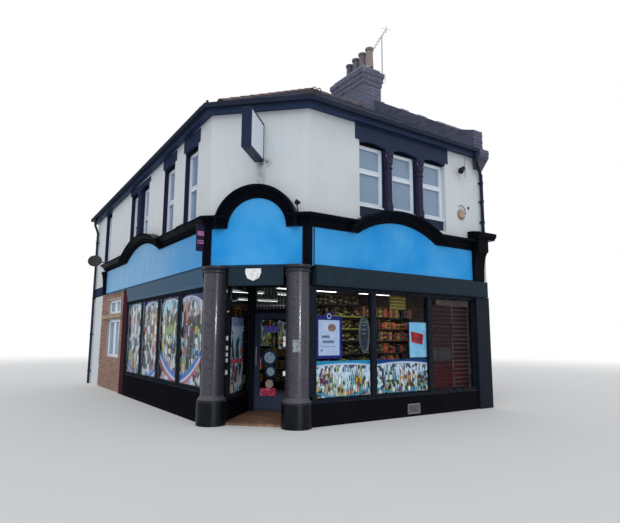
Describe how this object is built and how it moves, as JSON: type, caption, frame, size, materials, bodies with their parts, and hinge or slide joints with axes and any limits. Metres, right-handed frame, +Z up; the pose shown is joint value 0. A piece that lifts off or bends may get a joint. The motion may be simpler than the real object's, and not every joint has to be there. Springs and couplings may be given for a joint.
{
  "type": "corner shop building",
  "caption": "Two-storey corner shop building with a recessed door behind round columns on the cut-off corner, arched sign boards and a hipped roof.",
  "frame": {"origin": "ground level, at the middle of the plan between the square corner and the far ends of the front and side street walls", "axes": "+X along the front towards the party wall, +Y back along the side street, +Z up; the front faces -Y and the side street wall faces -X"},
  "size_m": [7.2733, 11.8, 10.9588],
  "materials": {
    "cream_render": "off-white painted render with rain streaks",
    "plain_brick": "red brown brickwork",
    "dark_brick": "sooty dark brickwork",
    "pot_clay": "weathered fired clay",
    "granite": "polished dark granite",
    "black_paint": "black gloss paint",
    "navy_paint": "dark blue grey gloss paint on timber",
    "shopfront_paint": "dark grey paint",
    "shutter_paint": "grey paint on folded steel",
    "blue_board": "bright blue sign board, bare of words",
    "faded_board": "sun-faded blue sign board, bare of words",
    "sign_white": "white sign face, bare of words",
    "white_frame": "white window frames",
    "window_glass": "clear glass",
    "slate": "dark weathered roof slates",
    "gutter_black": "black rainwater goods",
    "lobby_tile": "brown quarry tiles",
    "shop_tile": "worn shop floor",
    "ceiling_white": "painted ceiling under timber floor",
    "aerial_metal": "dull aluminium",
    "dish_grey": "grey painted steel",
    "light_white": "lit strip light fittings",
    "handle_steel": "brushed steel"
  },
  "bodies": {
    "building": {"shop_floor": "shop_tile", "lobby_floor": "lobby_tile", "upper_floor": "ceiling_white", "front_wall": "cream_render", "corner_wall": "cream_render", "flank_wall": "cream_render", "rear_wall": "cream_render", "party_wall": "plain_brick", "flank_pier": "cream_render", "brick_panel": "plain_brick", "shopfront_beam": "navy_paint", "stall_risers": "black_paint", "left_column": "granite", "right_column": "granite", "shopfront_piers": "shopfront_paint", "front_shop_frame": "shopfront_paint", "flank_shop_frame": "shopfront_paint", "lobby_side_frames": "shopfront_paint", "door_posts": "shopfront_paint", "entrance_transom": "shopfront_paint", "shop_glass": "window_glass", "front_sign": "blue_board", "corner_sign": "blue_board", "flank_sign": "faded_board", "shopfront_cornice": "black_paint", "shutter_boxes": "shutter_paint", "end_consoles": "black_paint", "window_surrounds": "navy_paint", "front_window_frames": "white_frame", "flank_window_frames": "white_frame", "rear_window_frames": "white_frame", "upper_glass": "window_glass", "main_roof": "slate", "rear_roof": "slate", "eaves_boards": "navy_paint", "rainwater_goods": "gutter_black", "chimney_stack": "dark_brick", "chimney_pots": "pot_clay", "aerial": "aerial_metal", "projecting_sign": "sign_white", "satellite_dish": "dish_grey", "ceiling_lights": "light_white"},
    "door": {"entrance_door": "shopfront_paint", "door_glass": "window_glass", "door_handle": "handle_steel"}
  },
  "joints": [
    {"name": "door_swing", "type": "hinge", "parent": "building", "child": "door", "pos_m": [-1.04679, -4.15915, 1], "axis": [0, 0, -1], "range_deg": [0, 90]}
  ]
}
